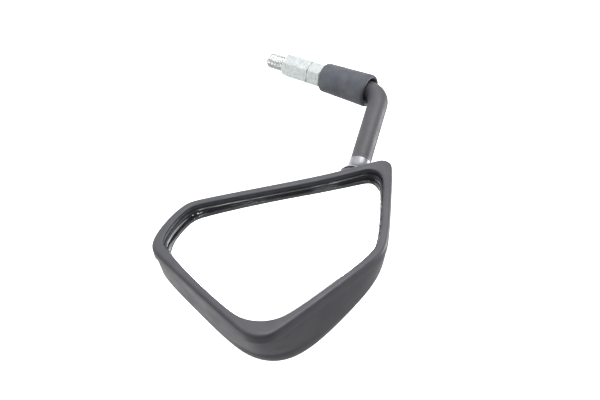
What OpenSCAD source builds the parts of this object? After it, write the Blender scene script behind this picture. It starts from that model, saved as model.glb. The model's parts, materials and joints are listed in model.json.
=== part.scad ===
// Rear-view mirror for the right handlebar of a motorcycle.
// Frame: as mounted. The origin is on the shoulder of the stud, where the adapter seats on its perch.
// +Z runs up the stud's axis, +X points outboard along the arm, and the glass looks towards -Y.

/* [Stud and lock nut] */
// Diameter of the stud's thread (M10)
stud_d = 10; // [8:0.5:12]
// Length of the stud below its shoulder
stud_len = 13.5; // [9:0.5:20]
// Width across the flats of the adapter and the lock nut
hex_af = 14; // [13.5:0.5:15]
// Height of the adapter's hexagon
adapter_h = 20.5; // [15:0.5:24]
// Height of the lock nut
nut_h = 9.5; // [6:0.5:10]

/* [Stem] */
// Outside diameter of the stem tube
stem_d = 12.7; // [11.5:0.1:13.2]
// Wall of the stem tube
stem_wall = 1.6; // [1.2:0.2:2]
// Height where the stud's axis and the arm's axis meet
elbow_h = 72.5; // [70:0.5:95]
// Radius of the bend on the tube's centre line
bend_r = 12; // [9:1:16]
// Rise of the arm above level
arm_rise = 16.5; // [5:0.5:30]
// Length of the arm from the elbow to the end of the tube
arm_len = 51.5; // [40:0.5:80]

/* [Rubber sleeve] */
// Length of the sleeve
sleeve_len = 34; // [32:1:42]
// Diameter of the sleeve's lower end
sleeve_low_d = 19; // [18.5:0.5:21]
// Diameter of the sleeve's upper end
sleeve_top_d = 21; // [20:0.5:24]

/* [Ball joint] */
// Diameter of the ball
ball_d = 15; // [14:0.5:15.5]
// Distance from the end of the tube to the ball's centre
ball_reach = 22; // [21:0.5:26]
// Diameter of the collar's skirt, which covers the mouth of the socket
collar_d = 20; // [20:0.5:22]
// Swing of the head to each side, up or down
swing = 12; // [6:1:12]

/* [Head] */
// Turn of the glass towards the motorcycle
head_turn = 9.4; // [0:0.1:20]
// Tilt of the glass towards the sky
head_tilt = 4.5; // [-5:0.1:15]
// Droop of the head's outboard end
head_droop = 16.2; // [5:0.5:25]
// Size of the head against the pattern's outline
head_scale = 1; // [0.95:0.01:1.1]
// Width of the rim's face round the glass
rim_w = 4.5; // [3.5:0.25:5.5]
// Height of the bezel's upright side
bezel_h = 7; // [5:0.5:9]
// Depth of the housing at its bottom edge and at the ball
back_depth = 34; // [33:0.5:38]
// How much deeper the back is where it swells behind the top edge
back_dome = 15; // [8:0.5:18]
// Radius of the roll from the walls into the back
back_round = 9; // [7:0.5:11]
// Wall of the housing
housing_wall = 2.5; // [2:0.25:3]

/* [Glass] */
// Thickness of the mirror glass
glass_t = 2.2; // [1.8:0.1:3]
// Radius of curvature of the convex glass
glass_r = 1200; // [1000:50:1400]
// Depth of the glass below the rim at its middle
glass_drop = 5.2; // [4.5:0.1:6.5]

/* [Hidden] */
$fn = 64;
fit_gap = 0.05;            // clearance of running faces, on the radius
press_gap = 0.01;          // line to line fit of pressed faces
cut = 0.5;                 // how far a cutting body runs past the face it opens
edge = 0.8;                // chamfer on turned and hexagonal ends
lap = 0.2;                 // the straights run this far into the bend, so the tube is one piece
bend_swell = 0.01;         // the bend's wall is this much fuller than the straights

// Stud, adapter and nut
stud_r = stud_d / 2;
hex_r = hex_af / sqrt(3);                   // across corners, halved
rod_r = 5;                                  // the stem's own M10 thread
rod_sink = 13;                              // how deep it runs into the adapter
rod_foot = adapter_h - rod_sink;
tube_foot = adapter_h + nut_h + 0.6;        // the tube starts just above the nut
tube_r = stem_d / 2;
tube_bore = tube_r - stem_wall;
rod_shank = 16;                             // length of the plug pressed into the tube

// Bend and arm
turn = 90 - arm_rise;                       // how far the tube turns from +Z
bend_leg = bend_r * tan(turn / 2);          // elbow point to the end of the straight
arm_dir = [cos(arm_rise), 0, sin(arm_rise)];
tube_end = [0, 0, elbow_h] + arm_dir * arm_len;
ball_at = tube_end + arm_dir * ball_reach;

// Sleeve
sleeve_foot = tube_foot + 0.4;
sleeve_hood = sleeve_len - 13;              // wide bore that slides down over the hexagons
sleeve_grip = 8;                            // short bore that grips the tube
sleeve_bore = hex_r + 0.45;

// Shells round the ball, all about one centre
ball_r = ball_d / 2;
neck_r = 4;
liner_in = ball_r + fit_gap;
liner_out = liner_in + 1.15;
cup_in = liner_out + fit_gap;
cup_out = cup_in + 1.35;
socket_r = cup_out + fit_gap;
boss_r = socket_r + 2.8;                    // outside, round the ball
cap_gap = 0.35;                             // between the boss and the collar's skirt
swing_all = swing * sqrt(2);                // pan and tilt together
mouth_boss = asin(neck_r / socket_r) + swing_all + 3;
mouth_cup = mouth_boss + 4;
mouth_liner = mouth_boss + 6;
plug_r = socket_r + 0.6;                    // threaded bore behind the socket
tail_r = plug_r + 1.4;                      // tube round that bore, inside the housing
seat_back = 3;                              // the socket is round up to here, then straight
plug_top = 5;
plug_len = 9;
lock_ring_t = 2.2;
boss_tail = plug_top + plug_len + lock_ring_t + 2;

// Outline of the rim: sharp corners of the pattern, clockwise corners are never used
corners = [[-92.8, -3.6], [12.7, -63.2], [48, -51.4], [43.7, 42.4], [-45.4, 42.1]] * head_scale;
corner_r = [6.5, 19, 13.5, 16.5, 24.5];     // radii at the rim's outer edge
inner_r = [10, 16.5, 8, 26.5, 26];          // radii at the rim's inner edge
back_r = [10, 10, 10, 32, 27];              // radii low on the back
side_bulge = 3.2;                           // how softly the sides bow into the corners
back_bulge = 4.9;                           // the same, low on the back
rim_round = 2;                              // roll of the rim's outer edge
rim_soft = 1.2;                             // roll of the rim's inner edge
crease = 0.7;                               // step between the bezel and the wall
wall_draft = 0.5;                           // lean of the wall over its height
roll_from = 0.55;                           // share of the depth where the wall rolls over
head_mid = [-20, -8] * head_scale;
dome_at = [17, 40] * head_scale;            // deepest place of the back
dome_reach = 42 * head_scale;
ball_in_head = [-75.8, -21.1, -24.9];        // where the ball sits, seen from the head
bulge_blend = [-38, -2, -22];                // the boss fades into the back here
bulge_end_r = 9;
shoulder = [-2.4, -2.7];                    // how far the corner over the ball is drawn out
shoulder_reach = 28;
steps = 90;                                 // points round each ring

// Glass stack
recess_inset = rim_w - 0.05;                // wall of the recess round the glass
glass_inset = rim_w + 0.9;
glass_gap = 0.05;
ledge_z = glass_drop + glass_t + 4.7;       // where the carrier plate rests
plate_t = 2;
seal_h = 1.4;                               // height of the seal above the glass
relief = 0.4;                               // room round the socket's tube in the plate and the pad
lens_r = max([for (c = corners) norm(c - head_mid)]) + 5;
pilot_len = 9;                              // depth of the screws' pilot holes
post_r = 3.4;
screw_r = 1.5;
posts = [[-57, 12], [24, 29], [33, -36], [-9, -38]] * head_scale;

// Centre of each corner's arc for an outline set in by `inset` with corner radii `radii`
function arc_centres(inset, radii) = [
    for (i = [0 : len(corners) - 1])
        let (c = corners[i],
             p = corners[(i + len(corners) - 1) % len(corners)] - c,
             q = corners[(i + 1) % len(corners)] - c,
             bis = p / norm(p) + q / norm(q),
             b = bis / norm(bis))
        c + b * (inset + radii[i]) / sin(acos(b * p / norm(p)))
];

// Point of the bowed outline whose outward normal points along `a`
function outline_at(a, centres, radii, bow) =
    let (n = [cos(a), sin(a)],
         k = ln(2) / bow,
         reach = [for (i = [0 : len(centres) - 1]) centres[i] * n + radii[i]],
         top = max(reach),
         w = [for (h = reach) exp(k * (h - top))],
         total = w * [for (x = w) 1])
    (w * centres + n * (w * radii)) / total;

// Normals are spread so that both the long sides and the tight corners get their share of points
fine = [for (a = [0 : 2 : 360]) outline_at(a, arc_centres(0, corner_r), corner_r, side_bulge)];
run = [for (i = 0, s = 0; i < len(fine); s = s + norm(fine[min(i + 1, len(fine) - 1)] - fine[i]) + 1,
            i = i + 1) [s, 2 * i]];
angles = [for (j = [0 : steps - 1]) lookup(run[len(run) - 1][0] * j / steps, run)];

function draw_out(p) = p + shoulder * exp(-pow(norm(p - corners[0]) / shoulder_reach, 2));
function outline(inset, radii, bow = side_bulge) =
    let (centres = arc_centres(inset, radii))
    [for (a = angles) draw_out(outline_at(a, centres, radii, bow))];

function blend(a, b, t) = a * (1 - t) + b * t;
function shrink(p, s) = head_mid + (p - head_mid) * s;
function depth_at(p) = back_depth + back_dome * exp(-pow(norm(p - dome_at) / dome_reach, 2));

// Rings of the housing: inset, blend towards the back's shape, scale, share of the depth.
// The wall stands almost upright, then rolls over a quarter round into the crowned back.
back_in = crease + wall_draft + back_round;
back_rings = concat(
    [for (t = [0, 0.33, 0.67, 1]) [crease + wall_draft * t, t, 1, roll_from * t]],
    [for (a = [22 : 22 : 88]) [crease + wall_draft + back_round * (1 - cos(a)), 1, 1,
                               roll_from + (0.97 - roll_from) * sin(a)]],
    [[back_in, 1, 0.66, 0.99], [back_in, 1, 0.33, 1]]);
rim_rings = concat(
    [for (a = [0 : 30 : 90]) [rim_w - rim_soft * (1 - cos(a)), -rim_soft * (1 - sin(a))]],
    [for (a = [0 : 30 : 90]) [rim_round * (1 - sin(a)), -rim_round * (1 - cos(a))]],
    [[0, -bezel_h]]);

function skin(ring, grow, lid, depth_cut) =
    [for (p = outline(ring[0] + grow, blend(corner_r, back_r, ring[1]),
                      blend(side_bulge, back_bulge, ring[1])))
        let (q = shrink(p, ring[2])) concat(q, -lid - ring[3] * (depth_at(q) - depth_cut - lid))];

outer_rings = concat(
    [for (r = rim_rings)
        [for (p = outline(r[0], r[0] > rim_round ? inner_r : corner_r)) concat(p, r[1])]],
    [for (r = back_rings) skin(r, 0, bezel_h, 0)]);

cavity_rings = [for (r = back_rings) skin([max(r[0], rim_w), r[1], r[2], r[3]], housing_wall,
                                         ledge_z, housing_wall)];

// Closed body through a stack of rings, first ring on top, each with the same number of points
module loft(rings) {
    n = len(rings[0]);
    m = len(rings);
    polyhedron(
        points = [for (r = rings) for (p = r) p],
        faces = concat(
            [[for (i = [0 : n - 1]) n - 1 - i]],
            [for (k = [0 : m - 2]) for (i = [0 : n - 1])
                let (a = k * n + i, b = k * n + (i + 1) % n, c = a + n, d = b + n)
                each [[a, b, d], [a, d, c]]],
            [[for (i = [0 : n - 1]) (m - 1) * n + i]]),
        convexity = 6);
}

module at_arm() translate(ball_at) rotate([0, 90 - arm_rise, 0]) rotate([180, 0, 0]) children();

module at_head()
    translate(ball_at) rotate([0, 0, -head_turn]) rotate([90 - head_tilt, 0, 0])
        rotate([0, 0, -head_droop]) translate(-ball_in_head) children();

module hexagon(h, r) intersection() {
    cylinder(h = h, r = r, $fn = 6);
    rotate_extrude() polygon([[0, 0], [r - edge, 0], [r + 0.01, edge * 0.6],
                              [r + 0.01, h - edge * 0.6], [r - edge, h], [0, h]]);
}

module stud_adapter() color([0.78, 0.80, 0.80]) difference() {
    union() {
        hexagon(adapter_h, hex_r);
        translate([0, 0, -stud_len + edge]) cylinder(h = stud_len, r = stud_r);
        translate([0, 0, -stud_len]) cylinder(h = edge, r1 = stud_r - edge, r2 = stud_r);
    }
    translate([0, 0, rod_foot - 1]) cylinder(h = rod_sink + 1 + cut, r = rod_r + fit_gap);
}

module lock_nut() color([0.76, 0.78, 0.78]) translate([0, 0, adapter_h + fit_gap]) difference() {
    hexagon(nut_h, hex_r);
    translate([0, 0, -cut]) cylinder(h = nut_h + 2 * cut, r = rod_r + fit_gap);
}

module threaded_rod() color([0.70, 0.71, 0.72]) {
    translate([0, 0, rod_foot + edge]) cylinder(h = tube_foot - rod_foot - edge, r = rod_r);
    translate([0, 0, rod_foot]) cylinder(h = edge, r1 = rod_r - edge, r2 = rod_r);
    translate([0, 0, tube_foot - cut])
        cylinder(h = rod_shank, r = tube_bore - press_gap);
}

module stem_tube() color([0.12, 0.12, 0.13]) {
    straight = elbow_h - bend_leg - tube_foot;
    translate([0, 0, tube_foot]) linear_extrude(straight + lap) tube_ring(0);
    translate([bend_r, 0, elbow_h - bend_leg]) {
        rotate([90, 0, 180]) rotate_extrude(angle = turn) translate([bend_r, 0]) tube_ring(bend_swell);
        rotate([0, turn, 0]) translate([-bend_r, 0, -lap])
            linear_extrude(arm_len - bend_leg + lap) tube_ring(0);
    }
}

module tube_ring(swell) difference() {
    circle(tube_r + swell);
    circle(tube_bore - swell);
}

module rubber_sleeve() color([0.10, 0.11, 0.13]) translate([0, 0, sleeve_foot]) difference() {
    low = sleeve_low_d / 2;
    top = sleeve_top_d / 2;
    rotate_extrude() polygon([[0, 0], [low - 1.2, 0], [low - 0.4, 0.35], [low, 1.2],
                              [top, sleeve_len - 2], [top - 0.5, sleeve_len - 0.6],
                              [top - 1.6, sleeve_len], [0, sleeve_len]]);
    translate([0, 0, -cut]) cylinder(h = sleeve_hood + cut, r = sleeve_bore);
    translate([0, 0, sleeve_hood - 0.01]) cylinder(h = 2, r1 = sleeve_bore, r2 = tube_r + fit_gap);
    translate([0, 0, -cut]) cylinder(h = sleeve_len + 2 * cut, r = tube_r + fit_gap);
    translate([0, 0, sleeve_hood + sleeve_grip])
        cylinder(h = sleeve_len - sleeve_hood - sleeve_grip + 0.01, r1 = tube_r + fit_gap,
                 r2 = sleeve_top_d / 2 - 2.3);
}

module ball_stud() color([0.80, 0.81, 0.82]) at_arm() {
    cap_r = boss_r + cap_gap;                   // hollow of the skirt
    skirt = asin((collar_d / 2 - 0.25) / cap_r);
    skirt_s = cap_r * cos(skirt);
    rotate_extrude() polygon(concat(
        [for (a = [90 : -6 : 0]) [ball_r * cos(a) * (a == 90 ? 0 : 1), -ball_r * sin(a)]],
        [for (a = [6 : 6 : 54]) [ball_r * cos(a), ball_r * sin(a)]],
        [[neck_r, sqrt(ball_r * ball_r - neck_r * neck_r)]],
        [for (a = [asin(neck_r / cap_r) : 4.5 : skirt + 0.1]) cap_r * [sin(a), cos(a)]],
        [cap_r * [sin(skirt), cos(skirt)], [collar_d / 2, skirt_s + 0.4]],
        [for (t = [0.12 : 0.22 : 0.8]) [tube_r + 0.2 + (collar_d / 2 - tube_r) * pow(1 - t, 4),
                                       blend(skirt_s, ball_reach, t) + 0.4]],
        [[tube_r, ball_reach - 0.6], [tube_r, ball_reach],
         [tube_bore - press_gap, ball_reach], [tube_bore - press_gap, ball_reach + 13],
         [tube_bore - 1, ball_reach + 14], [0, ball_reach + 14]]));
}

// Band of a spherical shell between two angles from the neck's axis
module shell_band(r_in, r_out, from, to) rotate_extrude() polygon(concat(
    [for (t = [0 : 0.1 : 1]) let (a = blend(from, to, t)) [r_out * abs(sin(a)), r_out * cos(a)]],
    [for (t = [1 : -0.1 : 0]) let (a = blend(from, to, t)) [r_in * abs(sin(a)), r_in * cos(a)]]));

module ball_liner() color([0.85, 0.84, 0.78]) at_arm() {
    shell_band(liner_in, liner_out, mouth_liner, 88);
    shell_band(liner_in, liner_out, 92, 165);
}

module friction_cups() color([0.55, 0.56, 0.58]) at_arm() {
    shell_band(cup_in, cup_out, mouth_cup, 88);
    shell_band(cup_in, cup_out, 92, 165);
}

module socket_plug() color([0.16, 0.16, 0.17]) at_arm() difference() {
    translate([0, 0, -plug_top - plug_len]) cylinder(h = plug_len, r = plug_r - press_gap);
    sphere(r = socket_r);
    translate([0, 0, -plug_top - plug_len - cut]) cylinder(h = 3.2 + cut, r = 10 / sqrt(3), $fn = 6);
}

module plug_lock_ring() color([0.60, 0.61, 0.62]) at_arm()
    translate([0, 0, -plug_top - plug_len - lock_ring_t]) difference() {
        cylinder(h = lock_ring_t, r = plug_r - press_gap);
        translate([0, 0, -cut]) cylinder(h = lock_ring_t + 2 * cut, r = plug_r - 3.6);
        for (a = [0 : 90 : 270]) rotate(a) translate([plug_r - 2, -1.2, -cut])
            cube([3, 2.4, lock_ring_t - 0.6 + cut]);
    }

// Swollen corner of the moulding that holds the ball joint
module socket_bulge() hull() {
    translate(ball_at) sphere(r = boss_r, $fn = 40);
    at_arm() translate([0, 0, -boss_tail]) sphere(r = tail_r, $fn = 40);
    at_head() translate(bulge_blend) sphere(r = bulge_end_r, $fn = 32);
}

// Everything hollow inside the moulding, less the screw posts and the socket's tube
module hollow() difference() {
    at_head() loft(concat([[for (p = outline(recess_inset, inner_r)) concat(p, cut)]],
                          [[for (p = outline(recess_inset, inner_r)) concat(p, -ledge_z)]],
                          cavity_rings));
    at_head() for (p = posts) translate([p[0], p[1], -80])
        cylinder(h = 80 - ledge_z, r = post_r, $fn = 32);
    at_arm() translate([0, 0, -boss_tail]) cylinder(h = boss_tail, r = tail_r);
}

// Bore of the socket: the plug's thread, the seat of the cups and the flared mouth for the neck
module socket_bore() at_arm() rotate_extrude() polygon(concat(
    [[0, -boss_tail - cut], [plug_r, -boss_tail - cut], [plug_r, -seat_back], [socket_r, -seat_back]],
    [for (t = [0 : 0.1 : 1]) let (a = blend(90, mouth_boss, t)) socket_r * [sin(a), cos(a)]],
    [2 * boss_r * [sin(mouth_boss), cos(mouth_boss)], [0, 2 * boss_r * cos(mouth_boss)]]));

module housing_shell() color([0.09, 0.09, 0.09]) difference() {
    union() {
        at_head() loft(outer_rings);
        socket_bulge();
    }
    hollow();
    socket_bore();
    at_head() for (p = posts) translate([p[0], p[1], -ledge_z - pilot_len])
        cylinder(h = pilot_len + cut, r = screw_r + press_gap, $fn = 24);
}

module slab(inset, low, high) translate([0, 0, low])
    linear_extrude(high - low) polygon(outline(inset, inner_r));

// Disc of the lens between two depths below the convex face
module lens(drop_top, low_flat) translate([head_mid[0], head_mid[1], 0]) rotate_extrude($fn = 96)
    polygon(concat([[0, low_flat]], [[lens_r, low_flat]],
        [for (t = [10 : -1 : 0]) let (x = lens_r * t / 10) [x, -drop_top - x * x / (2 * glass_r)]]));

module glass_seal() color([0.02, 0.02, 0.02]) at_head() difference() {
    slab(rim_w + glass_gap, -ledge_z + plate_t, -glass_drop + seal_h);
    slab(glass_inset, -ledge_z, 1);
}

module mirror_glass() color([0.85, 0.88, 0.90]) at_head() difference() {
    intersection() {
        slab(glass_inset + glass_gap, -ledge_z, 0);
        lens(glass_drop, -ledge_z);
    }
    lens(glass_drop + glass_t, -ledge_z - 1);
}

// Room for the socket's tube in the layers behind the glass
module tube_relief() at_arm() translate([0, 0, -boss_tail - relief])
    cylinder(h = boss_tail + 2 * relief, r = tail_r + relief);

module foam_pad() color([0.20, 0.20, 0.21]) difference() {
    at_head() intersection() {
        slab(glass_inset + 1, -ledge_z + plate_t, 0);
        lens(glass_drop + glass_t, -ledge_z + plate_t);
    }
    tube_relief();
}

module carrier_plate() color([0.14, 0.14, 0.15]) difference() {
    at_head() difference() {
        slab(rim_w + 0.3, -ledge_z, -ledge_z + plate_t);
        for (p = posts) translate([p[0], p[1], -ledge_z - cut]) cylinder(h = 5, r = screw_r + 0.15);
        for (p = posts) translate([p[0], p[1], -ledge_z + plate_t - 1.5])
            cylinder(h = 1.51, r1 = screw_r + 0.15, r2 = 3.05);
    }
    tube_relief();
}

module carrier_screws() color([0.72, 0.73, 0.74]) at_head()
    for (p = posts) translate([p[0], p[1], 0]) {
        translate([0, 0, -ledge_z - 8]) cylinder(h = 8 + plate_t - 1.4, r = screw_r, $fn = 24);
        translate([0, 0, -ledge_z + plate_t - 1.45])
            cylinder(h = 1.4, r1 = screw_r, r2 = 2.9, $fn = 24);
    }

stud_adapter();
lock_nut();
threaded_rod();
stem_tube();
rubber_sleeve();
ball_stud();
ball_liner();
friction_cups();
socket_plug();
plug_lock_ring();
housing_shell();
glass_seal();
mirror_glass();
foam_pad();
carrier_plate();
carrier_screws();
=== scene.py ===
# %% [markdown]
# # A motorcycle mirror
# The real object is a right-hand mirror off a handlebar. A hexagonal zinc-plated stud screws into the
# perch, a lock nut sits against it, and a bent black tube rises out of a rubber sleeve to a plated ball
# stud. The ball holds a deep moulded housing with a recessed convex glass.
# The frame holds the exact solids, and this lesson dresses them: each visible piece gets a finer mesh
# made from the same few sizes, and a material worked out of noise and bump.

# %% Set-up
import json
import math
import bmesh
import bpy
from mathutils import Matrix, Vector
from mathutils.bvhtree import BVHTree


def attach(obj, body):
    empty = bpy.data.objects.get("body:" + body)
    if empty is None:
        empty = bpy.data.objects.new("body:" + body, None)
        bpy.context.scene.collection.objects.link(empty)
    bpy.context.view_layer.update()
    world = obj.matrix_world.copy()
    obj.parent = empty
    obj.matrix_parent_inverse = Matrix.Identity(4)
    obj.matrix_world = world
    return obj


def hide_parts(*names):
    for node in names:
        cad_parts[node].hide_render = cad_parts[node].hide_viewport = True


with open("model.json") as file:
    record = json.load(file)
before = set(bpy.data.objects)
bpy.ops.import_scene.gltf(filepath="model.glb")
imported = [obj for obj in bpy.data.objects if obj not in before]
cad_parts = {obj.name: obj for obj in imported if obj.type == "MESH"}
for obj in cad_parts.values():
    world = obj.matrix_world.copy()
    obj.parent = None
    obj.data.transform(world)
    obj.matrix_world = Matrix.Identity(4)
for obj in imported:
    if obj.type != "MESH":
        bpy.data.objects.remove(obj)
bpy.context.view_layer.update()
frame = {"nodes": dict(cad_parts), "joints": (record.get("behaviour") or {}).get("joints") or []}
nodes = frame["nodes"]
joints = {j["name"]: j for j in frame["joints"]}
MM = 0.001

# %% [markdown]
# The photograph looks down on the part as it lies, so seen from the mounted part the camera is rolled
# over on its side. Its place and angles were worked out from the stud, the bend and the rim's corners.
# A lens of 60.6 mm keeps the perspective, and a trim of a fifth of a degree levels the roll. A camera
# that tracks an empty would be simpler, but it can't hold a roll, so the three angles are given.

# %% Camera
CAMERA_AT = Vector((332.7, -470.7, 351.8)) * MM
CAMERA_TURN = (math.radians(-34.283), math.radians(-55.157), math.radians(156.973))
ROLL_TRIM = -0.0033
LENS_MM = 60.6
camera = bpy.data.objects.new("camera", bpy.data.cameras.new("camera"))
camera.data.lens = LENS_MM
camera.data.sensor_width = 36
camera.data.clip_start = 0.01
camera.location = CAMERA_AT
camera.rotation_euler = CAMERA_TURN
camera.rotation_euler.rotate_axis("Z", ROLL_TRIM)
bpy.context.scene.collection.objects.link(camera)
bpy.context.scene.camera = camera
print("camera", [round(v, 3) for v in camera.location])

# %% [markdown]
# The light is that of a white product table: an even white sky, so that the floor turns white with no
# hard shadow. Black plastic shows mostly what it reflects, so soft panels shape it: the key panel on the
# rider's side, the side panel behind and above, and a weak one outboard for the walls under the rim. A
# small lamp by the stud keeps its thread and hexagons readable. The two glint lamps are there for the
# seal, which breaks them up into a sparkle. One big panel would be simpler, but it would light every side
# alike.

# %% Light and floor
FLOOR_Z = -0.16
FLOOR_ACROSS = 30
SKY_STRENGTH = 1.08
MIDDLE = Vector((0.06, 0, 0.07))
STUD_FOOT = (0, 0, 0.01)


def soft_panel(name, place, aim, size, power):
    """A square area light at `place` that faces `aim`."""
    light = bpy.data.lights.new(name, "AREA")
    light.size = size
    light.energy = power
    lamp = bpy.data.objects.new(name, light)
    lamp.location = place
    lamp.rotation_euler = (Vector(aim) - Vector(place)).to_track_quat("-Z", "Y").to_euler()
    bpy.context.scene.collection.objects.link(lamp)


world = bpy.data.worlds.new("white_table")
bpy.context.scene.world = world
world.use_nodes = True
world.node_tree.nodes["Background"].inputs["Color"].default_value = (1, 1, 1, 1)
world.node_tree.nodes["Background"].inputs["Strength"].default_value = SKY_STRENGTH
bpy.context.scene.view_settings.view_transform = "Standard"

bpy.ops.mesh.primitive_plane_add(size=FLOOR_ACROSS, location=(0, 0, FLOOR_Z))
floor = bpy.context.object
floor.name = "floor"
soft_panel("key_panel", MIDDLE + Vector((-0.64, -0.74, 0.20)) * 0.9, MIDDLE, 0.6, 10.5)
soft_panel("side_panel", MIDDLE + Vector((-0.64, 0.33, 0.66)), MIDDLE, 0.4, 17)
soft_panel("low_panel", MIDDLE + Vector((0.85, -0.10, -0.12)), MIDDLE, 0.4, 1.5)
soft_panel("stud_lamp", (0.12, -0.02, -0.06), STUD_FOOT, 0.06, 0.15)
soft_panel("glint_lamp_a", (-0.056, -0.782, 0.317), MIDDLE, 0.05, 5)
soft_panel("glint_lamp_b", (0.060, -0.817, 0.195), MIDDLE, 0.05, 4.5)
print("floor at", FLOOR_Z)

# %% [markdown]
# Every material starts from the same bench: a Principled shader, object coordinates in metres, and a
# small helper that adds one layer of noise. Noise can come from an image, a node or a displaced mesh.
# Nodes are used here, because they hold at any distance and need no file. Where a noise is linked to a
# socket, it takes over from the number given first.

# %% Material helpers
NOISE_LOW, NOISE_HIGH = 0.3, 0.7


def new_finish(name, colour, roughness, metallic=0.0):
    """A Principled material with its constant numbers on the shader's own sockets."""
    finish = bpy.data.materials.new("look_" + name)
    finish.use_nodes = True
    shader = finish.node_tree.nodes["Principled BSDF"]
    shader.inputs["Base Color"].default_value = (*colour, 1)
    shader.inputs["Roughness"].default_value = roughness
    shader.inputs["Metallic"].default_value = metallic
    return finish, shader


def noise_layer(finish, grain_mm, detail=3.0, stretch=(1, 1, 1)):
    """The output of a noise in object space whose grains are about `grain_mm` across."""
    tree = finish.node_tree
    place = tree.nodes.new("ShaderNodeTexCoord")
    scale = tree.nodes.new("ShaderNodeMapping")
    scale.inputs["Scale"].default_value = stretch
    noise = tree.nodes.new("ShaderNodeTexNoise")
    noise.inputs["Scale"].default_value = 1 / (grain_mm * MM)
    noise.inputs["Detail"].default_value = detail
    tree.links.new(place.outputs["Object"], scale.inputs["Vector"])
    tree.links.new(scale.outputs["Vector"], noise.inputs["Vector"])
    return noise.outputs["Fac"]


def vary(finish, shader, socket, source, low, high):
    """Drives a shader socket from a noise, between two values."""
    tree = finish.node_tree
    ramp = tree.nodes.new("ShaderNodeMapRange")
    ramp.inputs["From Min"].default_value = NOISE_LOW
    ramp.inputs["From Max"].default_value = NOISE_HIGH
    ramp.inputs["To Min"].default_value = low
    ramp.inputs["To Max"].default_value = high
    tree.links.new(source, ramp.inputs["Value"])
    tree.links.new(ramp.outputs["Result"], shader.inputs[socket])


def tint(finish, shader, source, dark, light):
    """Blends the base colour between two tones by a noise."""
    tree = finish.node_tree
    ramp = tree.nodes.new("ShaderNodeValToRGB")
    ramp.color_ramp.elements[0].position = NOISE_LOW
    ramp.color_ramp.elements[0].color = (*dark, 1)
    ramp.color_ramp.elements[1].position = NOISE_HIGH
    ramp.color_ramp.elements[1].color = (*light, 1)
    tree.links.new(source, ramp.inputs["Fac"])
    tree.links.new(ramp.outputs["Color"], shader.inputs["Base Color"])


def bump(finish, shader, source, depth_mm, strength=1.0):
    """Presses a noise into the surface, `depth_mm` deep."""
    tree = finish.node_tree
    relief = tree.nodes.new("ShaderNodeBump")
    relief.inputs["Strength"].default_value = strength
    relief.inputs["Distance"].default_value = depth_mm * MM
    tree.links.new(source, relief.inputs["Height"])
    tree.links.new(relief.outputs["Normal"], shader.inputs["Normal"])


print("helpers ready")

# %% [markdown]
# The housing is moulded in a spark-eroded tool, which leaves a fine even grain that scatters the light.
# A scan of real grain could give it, but a fine bump has no seams. A broad noise shifts the sheen a
# little, as handled plastic shows.

# %% Housing plastic
housing_plastic, shader = new_finish("housing_plastic", (0.008, 0.008, 0.011), 0.6)
tint(housing_plastic, shader, noise_layer(housing_plastic, 9),
     (0.005, 0.005, 0.009), (0.009, 0.009, 0.013))
vary(housing_plastic, shader, "Roughness", noise_layer(housing_plastic, 14), 0.50, 0.62)
bump(housing_plastic, shader, noise_layer(housing_plastic, 0.35), 0.05, 0.5)
shader.inputs["Specular IOR Level"].default_value = 0.36
print(housing_plastic.name)

# %% [markdown]
# The low lip where the wall meets the glass is gloss black and slightly wavy, so the light runs along it
# in a broken line. A fine bump over a smooth surface does that, where more roughness would only blur it.

# %% Gloss seal
gloss_seal, shader = new_finish("gloss_seal", (0.006, 0.006, 0.007), 0.1)
vary(gloss_seal, shader, "Roughness", noise_layer(gloss_seal, 6), 0.09, 0.18)
bump(gloss_seal, shader, noise_layer(gloss_seal, 1.8, 2.5), 0.1, 0.45)
shader.inputs["Specular IOR Level"].default_value = 0.1
print(gloss_seal.name)

# %% [markdown]
# The wall between the rim and the glass belongs to the same moulding, so its finish takes the housing's
# name, but it has no grain. It reflects less of the sky, and its base tone is darker than the housing's,
# which is painted shade for the recess, with the same slow change of tone. One finish with a mask would
# do too, but a second one is easier to read.

# %% Smooth wall
smooth_wall_painted_shade, shader = new_finish("housing_plastic", (0.008, 0.009, 0.011), 0.25)
# Both tones of this tint are darker than the housing's: the difference is painted shade for the recess.
tint(smooth_wall_painted_shade, shader, noise_layer(smooth_wall_painted_shade, 7), (0.003, 0.004, 0.006), (0.008, 0.009, 0.012))
vary(smooth_wall_painted_shade, shader, "Roughness", noise_layer(smooth_wall_painted_shade, 5), 0.5, 0.62)
shader.inputs["Specular IOR Level"].default_value = 0.16
print(smooth_wall_painted_shade.name)

# %% [markdown]
# The glass is silvered on its back, so the reflection is clean and almost white. Clear glass over a
# silver layer would be closer to the real thing, but one bright metal looks the same and renders faster.
# A very faint, broad change of roughness stands for the film that every used mirror carries.

# %% Silvered glass
silvered_glass, shader = new_finish("silvered_glass", (0.93, 0.945, 0.95), 0.02, 1.0)
vary(silvered_glass, shader, "Roughness", noise_layer(silvered_glass, 30, 2), 0.012, 0.03)
print(silvered_glass.name)

# %% [markdown]
# The tube is dipped in satin black paint. The paint film is smooth but not flat: a soft orange peel of
# about a millimetre shows in the long highlight. A bump gives it without a finer mesh.

# %% Stem paint
stem_paint, shader = new_finish("stem_paint", (0.012, 0.012, 0.015), 0.56)
vary(stem_paint, shader, "Roughness", noise_layer(stem_paint, 5), 0.52, 0.62)
bump(stem_paint, shader, noise_layer(stem_paint, 1.2, 1.5), 0.03, 0.35)
shader.inputs["Specular IOR Level"].default_value = 0.34
print(stem_paint.name)

# %% [markdown]
# The sleeve is soft rubber, blue-black and dull, with a bloom that makes it lighter in patches. They
# could be painted by hand, but a noise of a few millimetres covers every side at once.

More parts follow.
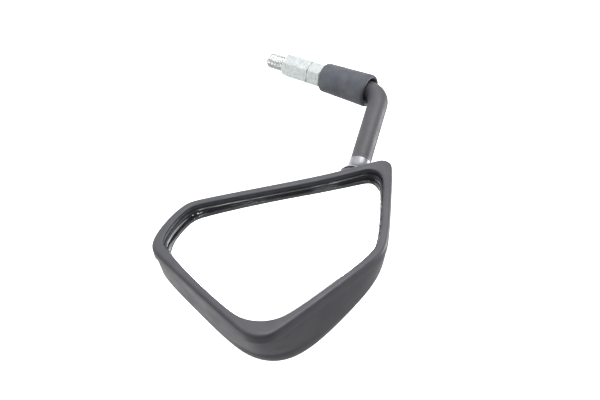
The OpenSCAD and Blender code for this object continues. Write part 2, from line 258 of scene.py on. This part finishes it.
# %% Sleeve rubber
sleeve_rubber, shader = new_finish("sleeve_rubber", (0.03, 0.034, 0.042), 0.75)
tint(sleeve_rubber, shader, noise_layer(sleeve_rubber, 5),
     (0.007, 0.009, 0.014), (0.015, 0.017, 0.023))
vary(sleeve_rubber, shader, "Roughness", noise_layer(sleeve_rubber, 8), 0.6, 0.8)
bump(sleeve_rubber, shader, noise_layer(sleeve_rubber, 0.5), 0.05, 0.5)
shader.inputs["Specular IOR Level"].default_value = 0.42
print(sleeve_rubber.name)

# %% [markdown]
# Zinc plate is pale with a cool green-blue cast, and crystals in the plate break the gloss up. It is kept
# dark and rough here, because under the white sky its flats would burn out. The ball stud is polished and
# plated, so its reflections are sharper and more neutral. The thread is bare where the plate has worn.

# %% Plated metals
zinc_plate, shader = new_finish("zinc_plate", (0.70, 0.74, 0.73), 0.3, 1.0)
tint(zinc_plate, shader, noise_layer(zinc_plate, 2.5), (0.31, 0.33, 0.328), (0.37, 0.39, 0.385))
vary(zinc_plate, shader, "Roughness", noise_layer(zinc_plate, 1.5), 0.84, 1.0)
bump(zinc_plate, shader, noise_layer(zinc_plate, 0.6), 0.02, 0.4)

bright_plate, shader = new_finish("bright_plate", (0.12, 0.12, 0.131), 0.36, 1.0)
vary(bright_plate, shader, "Roughness", noise_layer(bright_plate, 3), 0.32, 0.42)
bump(bright_plate, shader, noise_layer(bright_plate, 0.8), 0.01, 0.3)

thread_metal, shader = new_finish("bare_thread", (0.5, 0.51, 0.52), 0.36, 1.0)
tint(thread_metal, shader, noise_layer(thread_metal, 1.5), (0.28, 0.29, 0.29), (0.50, 0.51, 0.51))
vary(thread_metal, shader, "Roughness", noise_layer(thread_metal, 1), 0.28, 0.5)
print(zinc_plate.name, bright_plate.name, thread_metal.name)

# %% [markdown]
# The hidden pieces are plain, but a part may be opened: the nylon liner, the pressed cups, the plug and
# the foam pad each get the grain of their own stuff. One grey for all of them would be quicker, but they
# couldn't be told apart. The floor is matt white paper.

# %% Inner finishes
liner_nylon, shader = new_finish("liner_nylon", (0.78, 0.76, 0.68), 0.5)
vary(liner_nylon, shader, "Roughness", noise_layer(liner_nylon, 2), 0.42, 0.6)
bump(liner_nylon, shader, noise_layer(liner_nylon, 0.8), 0.02, 0.4)

cup_steel, shader = new_finish("cup_steel", (0.45, 0.46, 0.48), 0.35, 1.0)
vary(cup_steel, shader, "Roughness", noise_layer(cup_steel, 1.5, 3, (1, 1, 6)), 0.25, 0.5)
bump(cup_steel, shader, noise_layer(cup_steel, 0.5), 0.01, 0.4)

plug_plastic, shader = new_finish("plug_plastic", (0.05, 0.05, 0.055), 0.55)
vary(plug_plastic, shader, "Roughness", noise_layer(plug_plastic, 4), 0.45, 0.65)
bump(plug_plastic, shader, noise_layer(plug_plastic, 0.6), 0.04, 0.5)

pad_foam, shader = new_finish("pad_foam", (0.09, 0.09, 0.10), 0.9)
tint(pad_foam, shader, noise_layer(pad_foam, 0.8), (0.06, 0.06, 0.07), (0.13, 0.13, 0.14))
bump(pad_foam, shader, noise_layer(pad_foam, 0.7), 0.3, 0.8)

floor_paper, shader = new_finish("floor_paper", (0.93, 0.93, 0.93), 0.8)
bump(floor_paper, shader, noise_layer(floor_paper, 2), 0.05, 0.1)
floor.data.materials.append(floor_paper)
print(liner_nylon.name, cup_steel.name, plug_plastic.name, pad_foam.name)

# %% [markdown]
# Four helpers make the meshes. `clean_mesh` welds points and faces into one skin. `add_piece` makes it
# an object that rides on a body and takes the place of its solid. `grid_faces` joins rings of points, and
# `turned` spins a profile, as a lathe would, for everything round. A Screw modifier would do the same,
# but plain points let the profile be read in millimetres.

# %% Mesh helpers
WELD = 1e-7


def clean_mesh(name, points, faces):
    """A mesh of points in metres, with doubled points welded and all faces turned outwards."""
    mesh = bpy.data.meshes.new(name)
    mesh.from_pydata(points, [], faces)
    skin = bmesh.new()
    skin.from_mesh(mesh)
    bmesh.ops.remove_doubles(skin, verts=skin.verts, dist=WELD)
    bmesh.ops.recalc_face_normals(skin, faces=skin.faces)
    skin.to_mesh(mesh)
    skin.free()
    return mesh


def add_piece(name, points, faces, body, finish, stands_for, smooth_over):
    """An object on a body in place of its solids, shaded smooth up to `smooth_over` degrees."""
    mesh = clean_mesh(name, points, faces)
    mesh.shade_smooth()
    mesh.set_sharp_from_angle(angle=math.radians(smooth_over))
    mesh.materials.append(finish)
    piece = bpy.data.objects.new(name, mesh)
    bpy.context.scene.collection.objects.link(piece)
    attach(piece, body)
    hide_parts(*stands_for)
    print(name, len(mesh.polygons), "faces")


def grid_faces(rows, cols):
    """Faces between closed rings of points, `cols` to a ring."""
    faces = []
    for start in range(0, (rows - 1) * cols, cols):
        for c in range(cols):
            d = (c + 1) % cols
            faces.append((start + c, start + d, start + cols + d, start + cols + c))
    return faces


def turned(profile, matrix, around=96):
    """Points and faces of a profile of (radius, height) in mm, spun about the local Z axis."""
    points = [matrix @ (Vector((radius * math.cos(a), radius * math.sin(a), height)) * MM)
              for radius, height in profile
              for a in (2 * math.pi * k / around for k in range(around))]
    return points, grid_faces(len(profile), around)


print("mesh helpers ready")

# %% [markdown]
# The driving sizes, in millimetres, are those of the solids. The ball's centre comes from the joints,
# and the arm's rise from the axis of the head's spin.

# %% Sizes
HEX_ACROSS = 14.0
ADAPTER_H = 20.5
NUT_H = 9.5
STUD_LEN = 13.5
THREAD_R = 5.0
THREAD_PITCH = 1.25
STEM_R = 6.35
TUBE_BORE = 4.75
ELBOW_H = 72.5
BEND_R = 12.0
ARM_LEN = 51.5
BALL_R = 7.5
BALL_REACH = 22.0
COLLAR_R = 10.0
NECK_R = 4.0
SLEEVE_FOOT = 31.0
SLEEVE_LEN = 34.0
RIM_W = 4.5
BEZEL_H = 7.0
RIM_SOFT = 1.2
RIM_ROUND = 2.0
BACK_DEPTH = 34.0
BACK_DOME = 15.0
BACK_ROUND = 9.0
WALL_DRAFT = 0.5
CREASE = 0.7
ROLL_FROM = 0.55
LEDGE_Z = 12.1
GLASS_DROP = 5.2
GLASS_T = 2.2
GLASS_R = 1200.0
TUBE_GAP = 0.6
SEAL_H = 1.4
SIDE_BOW = 3.2
BACK_BOW = 4.9

ball = Vector(joints["head_pan"]["pos_m"])
arm = Vector(joints["head_spin"]["axis"]).normalized()
arm_rise = math.asin(arm.z)
bend_turn = math.pi / 2 - arm_rise
bend_leg = BEND_R * math.tan(bend_turn / 2)
tube_foot = ADAPTER_H + NUT_H + TUBE_GAP
along_arm = (Matrix.Translation(ball) @ Matrix.Rotation(bend_turn, 4, "Y")
             @ Matrix.Rotation(math.pi, 4, "X"))
print("arm rises", round(math.degrees(arm_rise), 2), "degrees, ball at", [round(v, 4) for v in ball])

# %% [markdown]
# The head's rim is a five-sided outline with a different radius at each corner and sides that bow out a
# little. A curve with round corners would do, but rings behind the rim must follow it point for point.
# So each point is found from its outward direction: every corner pulls on it, and the strongest pull wins
# softly, which rounds the corners and bows the sides in one go. Two corners are then nudged: the one over
# the ball is drawn out, and the rim is left broader inside the low outboard one.

# %% Head outline
HEAD_TURN, HEAD_TILT, HEAD_DROOP = 9.4, 4.5, 16.2
BALL_IN_HEAD = Vector((-75.8, -21.1, -24.9))
HEAD_MID = Vector((-20, -8))
DOME_AT = Vector((17, 40))
DOME_REACH = 42.0
CORNERS = [Vector(c) for c in
           ((-92.8, -3.6), (12.7, -63.2), (48, -51.4), (43.7, 42.4), (-45.4, 42.1))]
BALL_CORNER, LOW_CORNER = CORNERS[0], CORNERS[2]
CORNER_R = (6.5, 19, 13.5, 16.5, 24.5)
INNER_R = (10, 16.5, 8, 26.5, 26)
BACK_R = (10, 10, 10, 32, 27)
SHOULDER = Vector((-2.4, -2.7))
SHOULDER_REACH = 28.0
LIP_SHIFT = Vector((-2.6, 0.6))
LIP_REACH = 24.0
FACE_SET_BACK = 0.06
TIGHT_CORNER_SHARE = 0.3

in_head = (Matrix.Translation(ball) @ Matrix.Rotation(math.radians(-HEAD_TURN), 4, "Z")
           @ Matrix.Rotation(math.radians(90 - HEAD_TILT), 4, "X")
           @ Matrix.Rotation(math.radians(-HEAD_DROOP), 4, "Z")
           @ Matrix.Translation(-BALL_IN_HEAD * MM))


def arc_centres(inset, radii):
    """Centres of the corner arcs of an outline set in by `inset`."""
    centres = []
    for i, corner in enumerate(CORNERS):
        before = (CORNERS[i - 1] - corner).normalized()
        after = (CORNERS[(i + 1) % len(CORNERS)] - corner).normalized()
        middle = (before + after).normalized()
        centres.append(corner + middle * (inset + radii[i]) / math.sin(math.acos(middle.dot(before))))
    return centres


def outline_at(angle, centres, radii, bow=SIDE_BOW):
    """The point of the bowed outline whose outward direction is `angle`."""
    out = Vector((math.cos(angle), math.sin(angle)))
    pull = [c.dot(out) + r for c, r in zip(centres, radii)]
    weight = [math.exp(math.log(2) / bow * (p - max(pull))) for p in pull]
    point = sum((c * w for c, w in zip(centres, weight)), Vector((0, 0)))
    return (point + out * sum(r * w for r, w in zip(radii, weight))) / sum(weight)


def nudge(point, shift, centre, reach):
    """Moves a point by `shift` near `centre`, fading out over `reach`."""
    return point + shift * math.exp(-((point - centre).length / reach) ** 2)


def spread_angles(count):
    """Directions spread so that long sides and tight corners both get their share of points."""
    centres = arc_centres(0, CORNER_R)
    fine = [outline_at(math.radians(a / 2), centres, CORNER_R) for a in range(721)]
    run = [0.0]
    for a, b in zip(fine, fine[1:]):
        run.append(run[-1] + (b - a).length + TIGHT_CORNER_SHARE)
    angles, k = [], 0
    for j in range(count):
        goal = run[-1] * j / count
        while run[k + 1] < goal:
            k += 1
        angles.append(math.radians((k + (goal - run[k]) / (run[k + 1] - run[k])) / 2))
    return angles


ROUND = 240
ring_angles = spread_angles(ROUND)


def outline(inset, radii, bow=SIDE_BOW):
    """One ring of the head; the corner over the ball is drawn out a little."""
    centres = arc_centres(inset, radii)
    return [nudge(outline_at(a, centres, radii, bow), SHOULDER, BALL_CORNER, SHOULDER_REACH)
            for a in ring_angles]


def rim_outline(inset, radii):
    """An outline of the rim, whose inner edge keeps further in at the low outboard corner."""
    share = (radii[0] - CORNER_R[0]) / (INNER_R[0] - CORNER_R[0])
    return [nudge(p, LIP_SHIFT * share, LOW_CORNER, LIP_REACH) for p in outline(inset, radii)]


def flat_ring(inset, z, radii=CORNER_R):
    """One ring of the head at a level height, set back a hair so that it stays within the solid."""
    return [in_head @ (Vector((p.x, p.y, z - FACE_SET_BACK)) * MM) for p in rim_outline(inset, radii)]


rim = outline(0, CORNER_R)
print("rim", round(max(p.x for p in rim) - min(p.x for p in rim), 1), "x",
      round(max(p.y for p in rim) - min(p.y for p in rim), 1), "mm")

# %% [markdown]
# The bezel is the crisp front of the moulding: a narrow face round the glass, a rounded outer edge, an
# upright side, and the fine parting step where the tool halves met. It is built as rings from the inner
# wall out over the face and down the side, because a bevel on a finished solid would round every edge
# alike.

# %% Bezel
def quarter(count):
    """Angles from 0 to a right angle."""
    return [math.pi / 2 * k / count for k in range(count + 1)]


INNER_EDGE = [(RIM_W - RIM_SOFT * (1 - math.cos(a)), -RIM_SOFT * (1 - math.sin(a)))
              for a in quarter(8)]
WALL_ENDS = 3
RECESS = [(RIM_W - 0.05, -LEDGE_Z), (RIM_W - 0.05, -GLASS_DROP), (RIM_W - 0.05, -2.6)]
RECESS += INNER_EDGE[:WALL_ENDS + 1]
FACE = INNER_EDGE[WALL_ENDS:]
FACE += [(RIM_ROUND * (1 - math.sin(a)), -RIM_ROUND * (1 - math.cos(a))) for a in quarter(10)]
FACE += [(0, -BEZEL_H + 0.5), (0.08, -BEZEL_H + 0.15), (0.3, -BEZEL_H), (2.2, -BEZEL_H)]


def bezel_radii(inset):
    """Corner radii between those of the outer outline and those of the glass."""
    share = min(1, max(0, inset - RIM_ROUND) / (RIM_W - RIM_SOFT - RIM_ROUND))
    return [a + (b - a) * share for a, b in zip(CORNER_R, INNER_R)]


points = [p for inset, z in RECESS for p in flat_ring(inset, z, INNER_R)]
faces = grid_faces(len(RECESS), ROUND)
add_piece("recess_wall", points, faces, "head", smooth_wall_painted_shade, ["housing_shell"], 60)
points = [p for inset, z in FACE for p in flat_ring(inset, z, bezel_radii(inset))]
faces = grid_faces(len(FACE), ROUND)
add_piece("housing_bezel", points, faces, "head", housing_plastic, ["housing_shell"], 50)

# %% [markdown]
# Behind the bezel the walls draw in and roll over into the back, which is deep at the top and shallow at
# the bottom. The corner that holds the ball swells into a boss, a hull over three balls. The two shapes
# are joined by a voxel remesh at 0.7 mm, and the seam between them is smoothed into the fillet that a
# moulding has. Sculpting would do as well, but this way it comes out the same each time.

# %% Housing back
BOSS_R = 12.9
TAIL_R = 12.1
BOSS_TAIL = 18.2
SOCKET_R = 10.2
MOUTH = math.radians(43.3)
BOSS_FOOT = (-38, -2, -22)
BOSS_FOOT_R = 9
VOXEL_MM = 0.7
FILLET_MM = 3.5
OVERLAP = 2
ROLL_END = 0.97
ROLL_IN = CREASE + WALL_DRAFT
BACK = [(CREASE + WALL_DRAFT * t / 8, t / 8, 1, ROLL_FROM * t / 8) for t in range(9)]
BACK += [(ROLL_IN + BACK_ROUND * (1 - math.cos(a)), 1, 1,
          ROLL_FROM + (ROLL_END - ROLL_FROM) * math.sin(a)) for a in quarter(12)[1:]]
BACK += [(ROLL_IN + BACK_ROUND, 1, scale, share)
         for scale, share in ((0.83, 0.983), (0.66, 0.99), (0.5, 0.996), (0.33, 1))]


def back_ring(inset, blend, scale, share):
    """One ring of the back: set in, reshaped by `blend`, shrunk about the middle and lowered."""
    radii = [a + (b - a) * blend for a, b in zip(CORNER_R, BACK_R)]
    ring = []
    for p in outline(inset, radii, SIDE_BOW + (BACK_BOW - SIDE_BOW) * blend):
        q = HEAD_MID + (p - HEAD_MID) * scale
        deep = BACK_DEPTH + BACK_DOME * math.exp(-((q - DOME_AT).length / DOME_REACH) ** 2)
        ring.append(in_head @ (Vector((q.x, q.y, -BEZEL_H - share * (deep - BEZEL_H))) * MM))
    return ring


def helper_object(name, mesh):
    """An object that is only used to make another."""
    thing = bpy.data.objects.new(name, mesh)
    bpy.context.scene.collection.objects.link(thing)
    return thing


rings = [flat_ring(CREASE, OVERLAP - BEZEL_H)] + [back_ring(*r) for r in BACK]
faces = grid_faces(len(rings), ROUND)
faces += [tuple(range(ROUND)), tuple(range((len(rings) - 1) * ROUND, len(rings) * ROUND))]
wall = helper_object("wall", clean_mesh("wall", [p for r in rings for p in r], faces))


def ball_points(centre, radius):
    """Points spread evenly over a ball of `radius` millimetres."""
    made = bmesh.new()
    bmesh.ops.create_icosphere(made, subdivisions=4, radius=radius * MM,
                               matrix=Matrix.Translation(centre))
    out = [v.co.copy() for v in made.verts]
    made.free()
    return out


hull = bmesh.new()
tail_end = along_arm @ (Vector((0, 0, -BOSS_TAIL)) * MM)
boss_foot = in_head @ (Vector(BOSS_FOOT) * MM)
for centre, radius in ((ball, BOSS_R), (tail_end, TAIL_R), (boss_foot, BOSS_FOOT_R)):
    for p in ball_points(centre, radius):
        hull.verts.new(p)
bmesh.ops.convex_hull(hull, input=hull.verts)
bmesh.ops.delete(hull, geom=[v for v in hull.verts if not v.link_faces], context="VERTS")
boss_mesh = bpy.data.meshes.new("boss")
hull.to_mesh(boss_mesh)
hull.free()
boss = helper_object("boss", boss_mesh)
print("wall", len(wall.data.polygons), "boss", len(boss_mesh.polygons), "faces")

# %% [markdown]
# The join goes in four moves: add the boss, cut the round mouth that the neck swings in, melt both into
# one skin, then open the top where the bezel sits.

# %% Join the wall and the boss
SOCKET_FLOOR = 6
SOCKET_STEPS = 12
CUT_BELOW = 0.05
floor_angle = math.asin(-SOCKET_FLOOR / SOCKET_R)
mouth_profile = [(0, -SOCKET_FLOOR), (SOCKET_R * math.cos(floor_angle), -SOCKET_FLOOR)]
for k in range(SOCKET_STEPS + 1):
    a = floor_angle + (math.pi / 2 - MOUTH - floor_angle) * k / SOCKET_STEPS
    mouth_profile.append((SOCKET_R * math.cos(a), SOCKET_R * math.sin(a)))
past_boss = 2 * BOSS_R
mouth_profile += [(past_boss * math.sin(MOUTH), past_boss * math.cos(MOUTH)),
                  (0, past_boss * math.cos(MOUTH))]
cutter = helper_object("mouth", clean_mesh("mouth", *turned(mouth_profile, along_arm, 64)))

for tool, way in ((boss, "UNION"), (cutter, "DIFFERENCE")):
    join = wall.modifiers.new(way.lower(), "BOOLEAN")
    join.operation = way
    join.object = tool
    join.solver = "EXACT"
melt = wall.modifiers.new("melt", "REMESH")
melt.mode = "VOXEL"
melt.voxel_size = VOXEL_MM * MM
melt.use_smooth_shade = True
skin = bpy.data.meshes.new_from_object(wall.evaluated_get(bpy.context.evaluated_depsgraph_get()))


def relax(verts, rounds):
    """Draws points towards their neighbours, a few times over."""
    for _ in range(rounds):
        bmesh.ops.smooth_vert(made, verts=verts, factor=0.5,
                              use_axis_x=True, use_axis_y=True, use_axis_z=True)


def search_tree(mesh):
    """A tree that finds the nearest place on a mesh."""
    return BVHTree.FromPolygons([v.co for v in mesh.vertices],
                                [p.vertices[:] for p in mesh.polygons])


made = bmesh.new()
made.from_mesh(skin)
relax(made.verts, 3)
wall_tree, boss_tree = search_tree(wall.data), search_tree(boss.data)
seam = [v for v in made.verts
        if max(tree.find_nearest(v.co)[3] for tree in (wall_tree, boss_tree)) < FILLET_MM * MM]
relax(seam, 24)
up = (in_head.to_3x3() @ Vector((0, 0, 1))).normalized()
level = in_head @ (Vector((0, 0, -BEZEL_H - CUT_BELOW)) * MM)
bmesh.ops.bisect_plane(made, geom=made.verts[:] + made.edges[:] + made.faces[:], plane_co=level,
                       plane_no=up, clear_outer=True)
made.to_mesh(skin)
made.free()
back_points = [v.co.copy() for v in skin.vertices]
back_faces = [tuple(p.vertices) for p in skin.polygons]
for helper in (wall, boss, cutter):
    bpy.data.objects.remove(helper)
add_piece("housing_back", back_points, back_faces, "head", housing_plastic, ["housing_shell"], 60)

# %% [markdown]
# The seal is a low lip at the foot of the wall, round the edge of the glass. Its top has one flat facet,
# tipped towards the glass, with close rings at both edges so that smooth shading doesn't round it off.

# %% Glass seal
SEAL_TOP = -GLASS_DROP + SEAL_H
SEAL = [(RIM_W - 0.03, SEAL_TOP - 0.25), (RIM_W, SEAL_TOP - 0.06), (RIM_W + 0.08, SEAL_TOP),
        (RIM_W + 0.12, SEAL_TOP - 0.0187), (RIM_W + 0.66, SEAL_TOP - 0.2713),
        (RIM_W + 0.7, SEAL_TOP - 0.29), (RIM_W + 0.8, SEAL_TOP - 0.45),
        (RIM_W + 0.86, SEAL_TOP - 0.7), (RIM_W + 0.88, -GLASS_DROP - 2)]
points = [p for inset, z in SEAL for p in flat_ring(inset, z, INNER_R)]
add_piece("seal_lip", points, grid_faces(len(SEAL), ROUND), "head", gloss_seal, ["glass_seal"], 60)

# %% [markdown]
# The glass is a shallow cap cut from a sphere, with a ground edge. A flat plate would give the wrong
# reflections from the side. Rings from the edge to the middle follow the curve exactly.

# %% Mirror glass
GLASS_INSET = RIM_W + 0.95
GLASS_RINGS = 24


def on_lens(x, y, drop):
    """A point of the convex face, `drop` below the rim at the middle."""
    away = (x - HEAD_MID.x) ** 2 + (y - HEAD_MID.y) ** 2
    return in_head @ (Vector((x, y, -drop - away / (2 * GLASS_R))) * MM)


def lens_ring(inset, scale, drop):
    """One ring of the glass, shrunk towards its middle."""
    return [on_lens(*(HEAD_MID + (p - HEAD_MID) * scale), drop) for p in rim_outline(inset, INNER_R)]


GLASS = [(GLASS_INSET, 1, GLASS_DROP + GLASS_T), (GLASS_INSET, 1, GLASS_DROP + 0.5),
         (GLASS_INSET + 0.15, 1, GLASS_DROP + 0.15), (GLASS_INSET + 0.5, 1, GLASS_DROP)]
GLASS += [(GLASS_INSET + 0.5, s / GLASS_RINGS, GLASS_DROP) for s in range(GLASS_RINGS - 1, 0, -1)]
rings = [lens_ring(*g) for g in GLASS]
middle = len(GLASS) * ROUND
points = [p for r in rings for p in r] + [on_lens(HEAD_MID.x, HEAD_MID.y, GLASS_DROP)]
faces = grid_faces(len(GLASS), ROUND)
faces += [(middle - ROUND + k, middle - ROUND + (k + 1) % ROUND, middle) for k in range(ROUND)]
add_piece("convex_glass", points, faces, "head", silvered_glass, ["mirror_glass"], 25)

# %% [markdown]
# The stem is one tube, bent cold. The path is two straights and an arc. A curve with a bevel would make
# it too, but rings of points keep it exactly on the solid.

# %% Stem tube
TUBE_SIDES = 72
BEND_STEPS = 32


def tube_path():
    """Centres and directions along the stem, from the foot to the arm's end."""
    foot = Vector((0, 0, tube_foot))
    bend_start = Vector((0, 0, ELBOW_H - bend_leg))
    hub = bend_start + Vector((BEND_R, 0, 0))
    path = [(foot, Vector((0, 0, 1)))]
    for k in range(BEND_STEPS + 1):
        a = bend_turn * k / BEND_STEPS
        path.append((hub + BEND_R * Vector((-math.cos(a), 0, math.sin(a))),
                     Vector((math.sin(a), 0, math.cos(a)))))
    path.append((Vector((0, 0, ELBOW_H)) + arm * ARM_LEN, arm))
    return path


def tube_ring(centre, along, radius):
    """A circle of points round `centre`, square to `along`."""
    side = Vector((0, 1, 0))
    out = along.cross(side)
    return [(centre + (side * math.cos(a) + out * math.sin(a)) * radius) * MM
            for a in (2 * math.pi * k / TUBE_SIDES for k in range(TUBE_SIDES))]


path = tube_path()
tip, tip_way = path[-1]
rings = [tube_ring(c, d, STEM_R) for c, d in path[:-1]]
rings += [tube_ring(tip - tip_way * back, tip_way, radius) for back, radius in
          ((0.5, STEM_R), (0.15, STEM_R - 0.12), (0, STEM_R - 0.45), (0, TUBE_BORE))]
points = [p for r in rings for p in r]
faces = grid_faces(len(rings), TUBE_SIDES)
add_piece("bent_stem", points, faces, "stem", stem_paint, ["stem_tube"], 40)

# %% [markdown]
# The ball stud is turned from bar and plated. A flared collar keeps water off the socket, with a thin
# rolled rim; behind it a narrow neck carries the ball. The stem's paint runs a little way over its
# shank, so that band is a piece of its own in the paint's finish.

# %% Ball stud
PAINT_EDGE = 2.6
SPIGOT_R, SPIGOT_LEN = 4.74, 13
FLARE_FROM, FLARE_SPAN, FLARE_STEPS, FLARE_POWER = 0.06, 0.7, 14, 4
CAP_R = BOSS_R + 0.4
SKIRT = math.asin((COLLAR_R - 0.25) / CAP_R)
SKIRT_S = CAP_R * math.cos(SKIRT)
STUD = [(BALL_R * math.sin(math.radians(a)), -BALL_R * math.cos(math.radians(a)))
        for a in range(0, 148, 4)]
STUD += [(NECK_R, math.sqrt(BALL_R ** 2 - NECK_R ** 2) + 0.2)]
NECK_A = math.asin(NECK_R / CAP_R)
STUD += [(CAP_R * math.sin(a), CAP_R * math.cos(a)) for a in
         (NECK_A + (SKIRT - NECK_A) * k / 10 for k in range(11))]
STUD += [(COLLAR_R - 0.08, SKIRT_S + 0.12), (COLLAR_R, SKIRT_S + 0.4),
         (COLLAR_R - 0.06, SKIRT_S + 0.7)]
STUD += [(STEM_R + 0.2 + (COLLAR_R - STEM_R - 0.25) * (1 - t) ** FLARE_POWER,
          SKIRT_S + 0.4 + (BALL_REACH - SKIRT_S) * t)
         for t in (FLARE_FROM + FLARE_SPAN * k / FLARE_STEPS for k in range(FLARE_STEPS + 1))]
STUD += [(STEM_R + 0.12, BALL_REACH - PAINT_EDGE - 0.1), (STEM_R - 0.2, BALL_REACH - PAINT_EDGE),
         (STEM_R - 0.25, BALL_REACH - 0.02),
         (SPIGOT_R, BALL_REACH), (SPIGOT_R, BALL_REACH + SPIGOT_LEN), (0, BALL_REACH + SPIGOT_LEN)]
add_piece("flared_ball_stud", *turned(STUD, along_arm, 128), "stem", bright_plate, ["ball_stud"], 40)
PAINTED = [(STEM_R - 0.3, BALL_REACH - PAINT_EDGE), (STEM_R - 0.08, BALL_REACH - PAINT_EDGE + 0.02),
           (STEM_R, BALL_REACH - PAINT_EDGE + 0.12), (STEM_R, BALL_REACH - 1.2),
           (STEM_R, BALL_REACH + 0.02), (STEM_R - 0.3, BALL_REACH + 0.04)]
add_piece("painted_shank", *turned(PAINTED, along_arm, 96), "stem", stem_paint, ["ball_stud"], 30)

# %% [markdown]
# The sleeve is a soft moulding, a little wider at the top, with rolled ends and a hollow mouth at both
# ends. It is spun from one profile that runs down the outside and back up the inside.

# %% Rubber sleeve
LOW_R, TOP_R = 9.5, 10.5
HEX_BORE, GRIP_BORE = 8.53, 6.4
HOOD = SLEEVE_LEN - 13
LOW_END = [(HEX_BORE, 0.6), (8.62, 0.2), (8.8, 0.02), (9.05, 0.08), (9.3, 0.4), (9.46, 0.9),
           (LOW_R, 1.5)]
TAPER = [(LOW_R + (TOP_R - LOW_R) * k / 12, 1.5 + (SLEEVE_LEN - 3.6) * k / 12)
         for k in range(1, 12)]
TOP_END = [(TOP_R - inwards, SLEEVE_LEN - down) for inwards, down in
           ((0, 2.1), (0.08, 1.4), (0.35, 0.7), (0.8, 0.22), (1.4, 0.02), (1.95, 0.15), (2.4, 0.7))]
INSIDE = [(7.5, SLEEVE_LEN - 2.6), (GRIP_BORE, HOOD + 8), (GRIP_BORE, HOOD + 2), (HEX_BORE, HOOD),
          (HEX_BORE, 0.6)]
SLEEVE = LOW_END + TAPER + TOP_END + INSIDE
at_sleeve = Matrix.Translation((0, 0, SLEEVE_FOOT * MM))
spun = turned(SLEEVE, at_sleeve, 112)
add_piece("tapered_sleeve", *spun, "sleeve", sleeve_rubber, ["rubber_sleeve"], 55)

# %% [markdown]
# Hexagon stock is chamfered in the lathe, so each flat ends in a shallow arc where the cone cuts it. The
# radius at each angle is the smaller of the hexagon's and the cone's, which draws those arcs by itself.
# The stud's thread is made the same way: its radius follows the turn of the helix, where the solid is a
# plain cylinder. A Screw modifier could wind it too, but its ends would need trimming.

# %% Hexagons and thread
HEX_COLS = 180
HEX_CRISP = 90
THREAD_DEPTH = 0.72
FLANK_SLOPE, CREST_FLAT = 1.35, 0.12
TIP_CHAMFER, CHAMFER_SLOPE = 1.2, 0.75
THREAD_TOP = 0.2
ROWS_PER_PITCH = 12


def hex_radius(angle):
    """Distance from the axis to a hexagon's side, with slightly rounded corners."""
    flats = [max(0.0, math.cos(angle - math.radians(30 + 60 * k))) for k in range(6)]
    return HEX_ACROSS / 2 * sum(f ** HEX_CRISP for f in flats) ** (-1 / HEX_CRISP)


def hex_body(foot, top, foot_cone, top_cone, foot_bore, top_bore):
    """A hexagon between two heights. A cone is its radius at the end face and its slope."""
    length = top - foot
    heights = [0, 0.06, 0.14, 0.25, 0.4, 0.6, 0.8, 1.0, 1.25, 1.5, 1.8, 2.2, 2.8, length / 2]
    heights += [length - h for h in reversed(heights[:-1])]
    rows = [(foot_bore, 0)] + [(None, h) for h in heights] + [(top_bore, length)]
    points = []
    for bore, h in rows:
        for k in range(HEX_COLS):
            a = 2 * math.pi * k / HEX_COLS
            r = bore or min(hex_radius(a), foot_cone[0] + h * foot_cone[1],
                            top_cone[0] + (length - h) * top_cone[1])
            points.append(Vector((r * math.cos(a), r * math.sin(a), foot + h)) * MM)
    return points, grid_faces(len(rows), HEX_COLS)


def thread_points(low, high):
    """Points of a helical thread, as rings whose radius follows the turn of the helix."""
    rows = int((high - low) / THREAD_PITCH * ROWS_PER_PITCH)
    points = []
    for i in range(rows + 1):
        z = low + (high - low) * i / rows
        taper = max(0.0, TIP_CHAMFER - (z - low)) * CHAMFER_SLOPE
        for k in range(TUBE_SIDES):
            a = 2 * math.pi * k / TUBE_SIDES
            turn = ((z / THREAD_PITCH) - a / (2 * math.pi)) % 1.0
            cut = max(0.0, min(1.0, (1 - abs(2 * turn - 1)) * FLANK_SLOPE - CREST_FLAT))
            r = THREAD_R - max(THREAD_DEPTH * cut, taper)
            points.append(Vector((r * math.cos(a), r * math.sin(a), z)) * MM)
    return points, rows + 1


STUD_CORE, THREAD_BORE = 4.6, 4.9
FOOT_CONE, TOP_CONE, NUT_CONE = (6.0, 1.6), (6.7, 3.0), (6.75, 2.2)
NUT_GAP = 0.05
hexagon = hex_body(0, ADAPTER_H, FOOT_CONE, TOP_CONE, STUD_CORE, THREAD_BORE)
add_piece("hex_adapter", *hexagon, "adapter", zinc_plate, ["stud_adapter"], 28)
nut_foot = ADAPTER_H + NUT_GAP
hexagon = hex_body(nut_foot, nut_foot + NUT_H, NUT_CONE, NUT_CONE, THREAD_BORE, THREAD_BORE)
add_piece("jam_nut", *hexagon, "nut", zinc_plate, ["lock_nut"], 28)

points, rows = thread_points(-STUD_LEN, THREAD_TOP)
faces = grid_faces(rows, TUBE_SIDES) + [tuple(reversed(range(TUBE_SIDES)))]
add_piece("stud_thread", points, faces, "adapter", thread_metal, ["stud_adapter"], 50)

# %% [markdown]
# The pieces inside the head and the rod inside the tube stay as solids, and only need their finish and
# smooth shading. An Edge Split modifier keeps the hard corners hard without touching the mesh.

# %% Inner pieces
HARD_EDGE = math.radians(30)
KEPT = {"threaded_rod": thread_metal, "ball_liner": liner_nylon, "friction_cups": cup_steel,
        "socket_plug": plug_plastic, "plug_lock_ring": zinc_plate, "foam_pad": pad_foam,
        "carrier_plate": plug_plastic, "carrier_screws": zinc_plate}
for name, finish in KEPT.items():
    node = nodes[name]
    node.data.materials.clear()
    node.data.materials.append(finish)
    for polygon in node.data.polygons:
        polygon.use_smooth = True
    split = node.modifiers.new("hard_edges", "EDGE_SPLIT")
    split.split_angle = HARD_EDGE
print("kept", len(KEPT), "solids")
